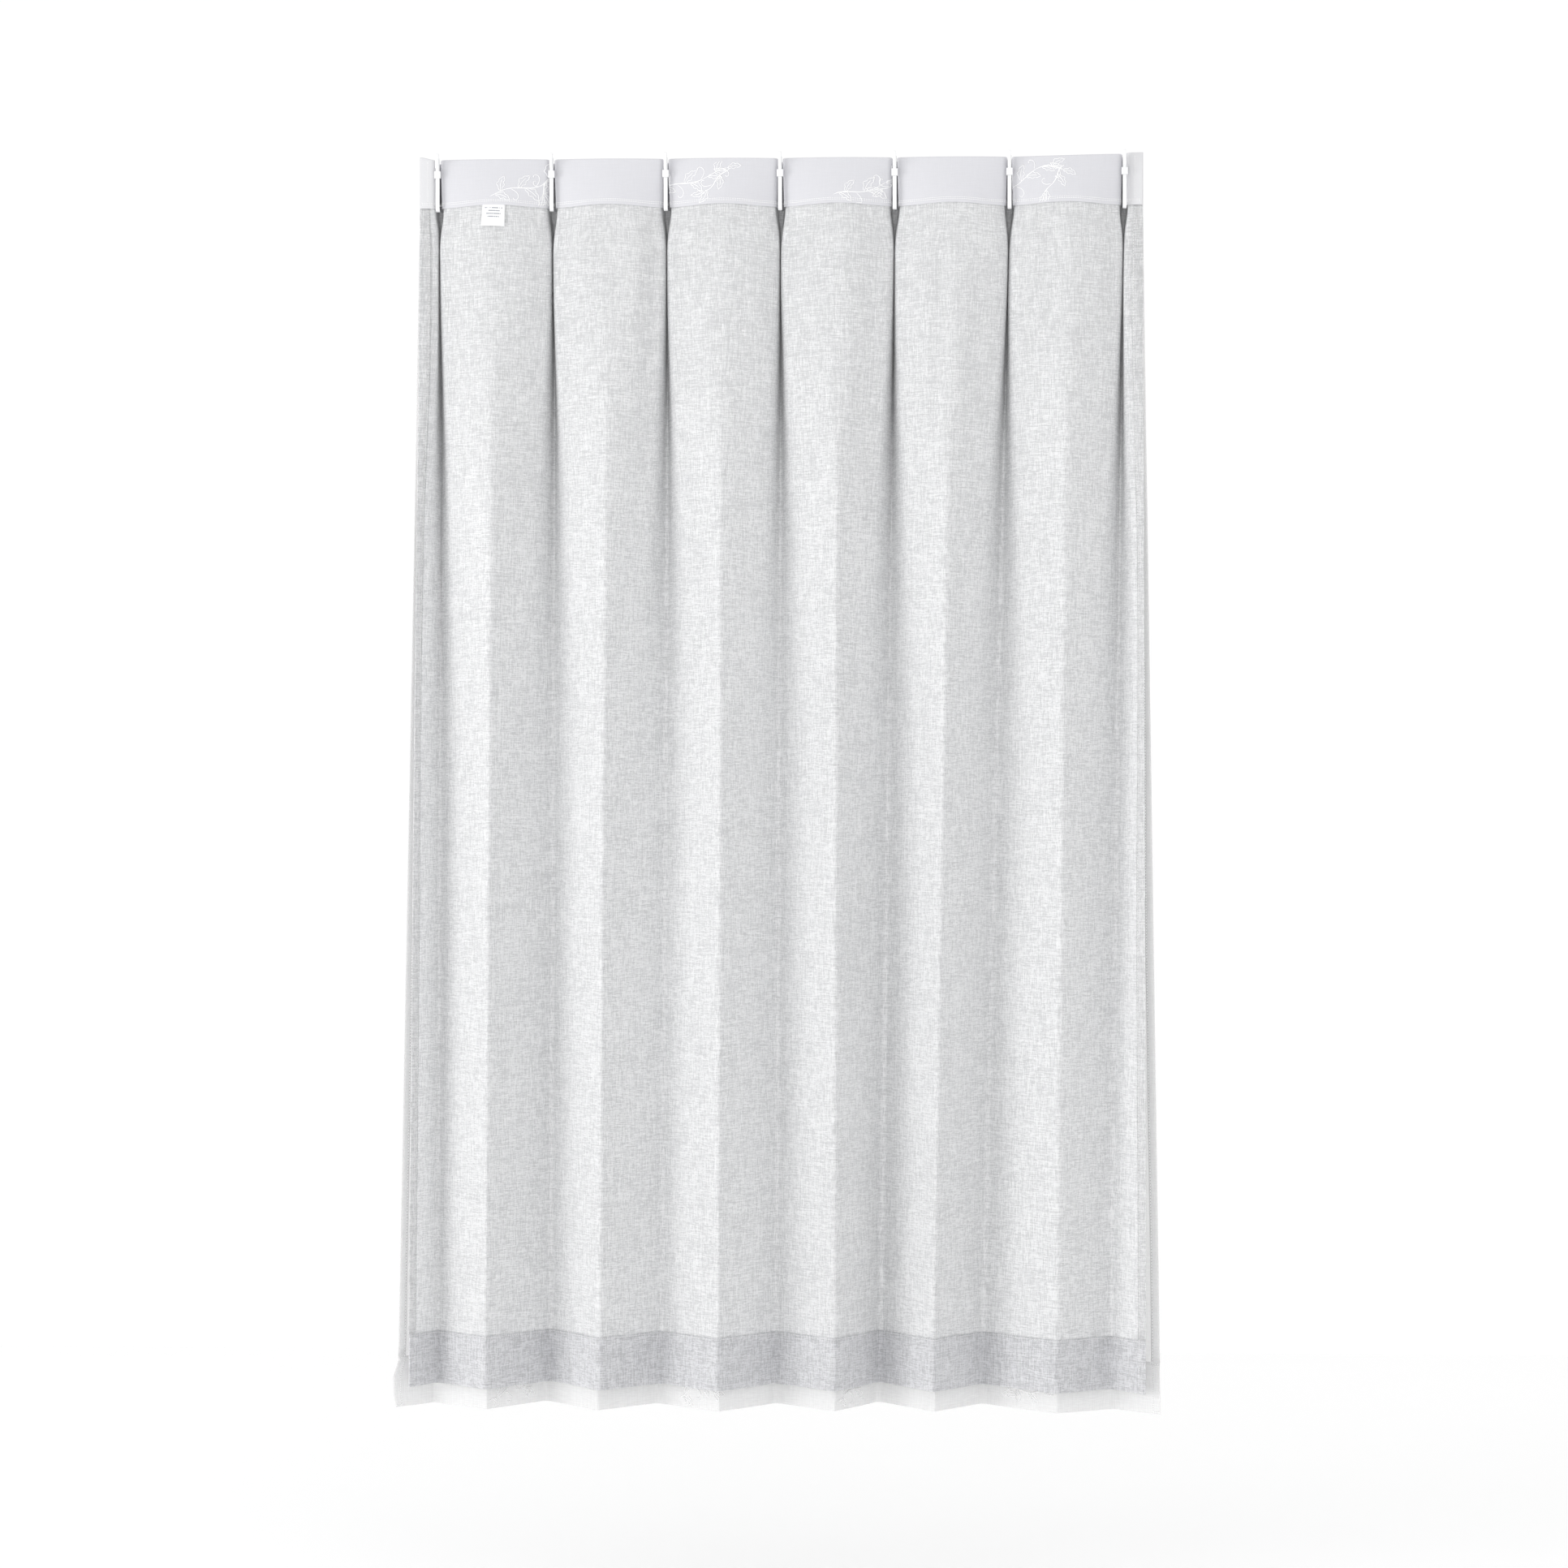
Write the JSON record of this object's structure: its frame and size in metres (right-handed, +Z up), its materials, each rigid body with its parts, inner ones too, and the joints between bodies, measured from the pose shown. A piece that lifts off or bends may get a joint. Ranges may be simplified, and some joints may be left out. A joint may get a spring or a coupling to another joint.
{
  "type": "curtain panel",
  "caption": "Double-layer pleated window curtain panel: grey woven cloth behind a sheer, on a stiffened heading with adjustable hooks for a rail.",
  "frame": {"origin": "on the rail line, midway between the end hooks, in the middle of the space for the runner's ring, on the inner bearing faces of the hooks' arches", "axes": "+X along the rail, to the right as seen from the window; +Y into the room; +Z up"},
  "size_m": [1.073, 0.1342, 1.7772],
  "materials": {
    "grey_cloth": "light cool grey plain weave with slubs, matt",
    "sheer_cloth": "white voile, translucent, with raised white embroidery",
    "heading_cloth": "white voile over a stiffener, double-stitched",
    "heading_tape": "stiff non-woven heading tape",
    "sewing_thread": "white polyester thread",
    "label_cloth": "white satin label, blank but for pale bars",
    "hook_plastic": "white moulded acetal, satin"
  },
  "bodies": {
    "curtain": {"header_band": "heading_cloth", "header_tape": "heading_tape", "grey_panel": "grey_cloth", "sheer_panel": "sheer_cloth", "grey_bottom_hem": "grey_cloth", "sheer_bottom_hem": "sheer_cloth", "grey_side_hem_left": "grey_cloth", "sheer_side_hem_left": "sheer_cloth", "grey_side_hem_right": "grey_cloth", "sheer_side_hem_right": "sheer_cloth", "hook_stem_1": "hook_plastic", "pleat_tack_1": "sewing_thread"},
    "label": {"care_label": "label_cloth"},
    "hook_2": {"hook_stem_2": "hook_plastic", "pleat_tack_2": "sewing_thread"},
    "hook_3": {"hook_stem_3": "hook_plastic", "pleat_tack_3": "sewing_thread"},
    "hook_4": {"hook_stem_4": "hook_plastic", "pleat_tack_4": "sewing_thread"},
    "hook_5": {"hook_stem_5": "hook_plastic", "pleat_tack_5": "sewing_thread"},
    "hook_6": {"hook_stem_6": "hook_plastic", "pleat_tack_6": "sewing_thread"},
    "hook_7": {"hook_stem_7": "hook_plastic", "pleat_tack_7": "sewing_thread"},
    "slider_1": {"hook_slider_1": "hook_plastic"},
    "slider_2": {"hook_slider_2": "hook_plastic"},
    "slider_3": {"hook_slider_3": "hook_plastic"},
    "slider_4": {"hook_slider_4": "hook_plastic"},
    "slider_5": {"hook_slider_5": "hook_plastic"},
    "slider_6": {"hook_slider_6": "hook_plastic"},
    "slider_7": {"hook_slider_7": "hook_plastic"}
  },
  "joints": [
    {"name": "draw_7", "type": "slide", "parent": "curtain", "child": "hook_7", "axis": [-1, 0, 0], "range_m": [0, 0.729], "deforming": ["header_band", "header_tape", "grey_panel", "sheer_panel", "grey_bottom_hem", "sheer_bottom_hem", "grey_side_hem_left", "sheer_side_hem_left", "grey_side_hem_right", "sheer_side_hem_right"]},
    {"name": "draw_2", "type": "slide", "parent": "curtain", "child": "hook_2", "axis": [-1, 0, 0], "range_m": [0, 0.122]},
    {"name": "draw_3", "type": "slide", "parent": "curtain", "child": "hook_3", "axis": [-1, 0, 0], "range_m": [0, 0.2435]},
    {"name": "draw_4", "type": "slide", "parent": "curtain", "child": "hook_4", "axis": [-1, 0, 0], "range_m": [0, 0.365]},
    {"name": "draw_5", "type": "slide", "parent": "curtain", "child": "hook_5", "axis": [-1, 0, 0], "range_m": [0, 0.4865]},
    {"name": "draw_6", "type": "slide", "parent": "curtain", "child": "hook_6", "axis": [-1, 0, 0], "range_m": [0, 0.608]},
    {"name": "label_draw", "type": "slide", "parent": "curtain", "child": "label", "axis": [-1, 0, 0], "range_m": [0, 0.0613]},
    {"name": "adjust_1", "type": "slide", "parent": "curtain", "child": "slider_1", "axis": [0, 0, 1], "range_m": [-0.036, 0]},
    {"name": "adjust_2", "type": "slide", "parent": "hook_2", "child": "slider_2", "axis": [0, 0, 1], "range_m": [-0.036, 0]},
    {"name": "adjust_3", "type": "slide", "parent": "hook_3", "child": "slider_3", "axis": [0, 0, 1], "range_m": [-0.036, 0]},
    {"name": "adjust_4", "type": "slide", "parent": "hook_4", "child": "slider_4", "axis": [0, 0, 1], "range_m": [-0.036, 0]},
    {"name": "adjust_5", "type": "slide", "parent": "hook_5", "child": "slider_5", "axis": [0, 0, 1], "range_m": [-0.036, 0]},
    {"name": "adjust_6", "type": "slide", "parent": "hook_6", "child": "slider_6", "axis": [0, 0, 1], "range_m": [-0.036, 0]},
    {"name": "adjust_7", "type": "slide", "parent": "hook_7", "child": "slider_7", "axis": [0, 0, 1], "range_m": [-0.036, 0]}
  ],
  "couplings": [
    {"joint": "draw_2", "follows": "draw_7", "ratio": 0.16667},
    {"joint": "draw_3", "follows": "draw_7", "ratio": 0.33333},
    {"joint": "draw_4", "follows": "draw_7", "ratio": 0.5},
    {"joint": "draw_5", "follows": "draw_7", "ratio": 0.66667},
    {"joint": "draw_6", "follows": "draw_7", "ratio": 0.83333},
    {"joint": "label_draw", "follows": "draw_7", "ratio": 0.083333}
  ]
}
